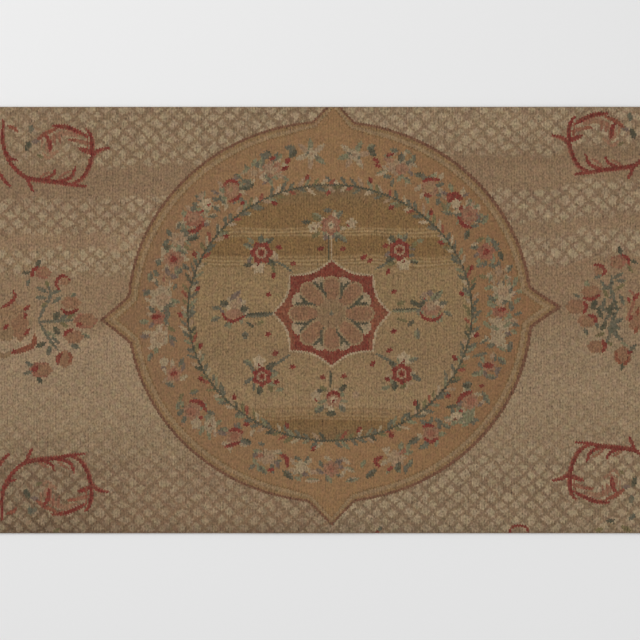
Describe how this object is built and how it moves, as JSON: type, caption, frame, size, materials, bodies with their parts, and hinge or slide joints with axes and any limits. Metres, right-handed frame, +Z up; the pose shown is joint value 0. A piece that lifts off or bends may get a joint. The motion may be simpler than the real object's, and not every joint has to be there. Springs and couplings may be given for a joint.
{
  "type": "aubusson rug section",
  "caption": "Flat tapestry-woven wool rug length with a star rosette, a flowered ogee medallion and a lattice field, lying on the floor.",
  "frame": {"origin": "on the floor, under the middle of the cloth", "axes": "+X across the ribs of the weave, which is the cloth's longer side; +Y along the ribs, to the top of the pattern; +Z up out of the patterned face"},
  "size_m": [0.972, 0.64, 0.0054],
  "materials": {
    "wool": "matt ribbed wool tapestry"
  },
  "bodies": {
    "root": {"rug_cloth": "wool"}
  },
  "joints": []
}
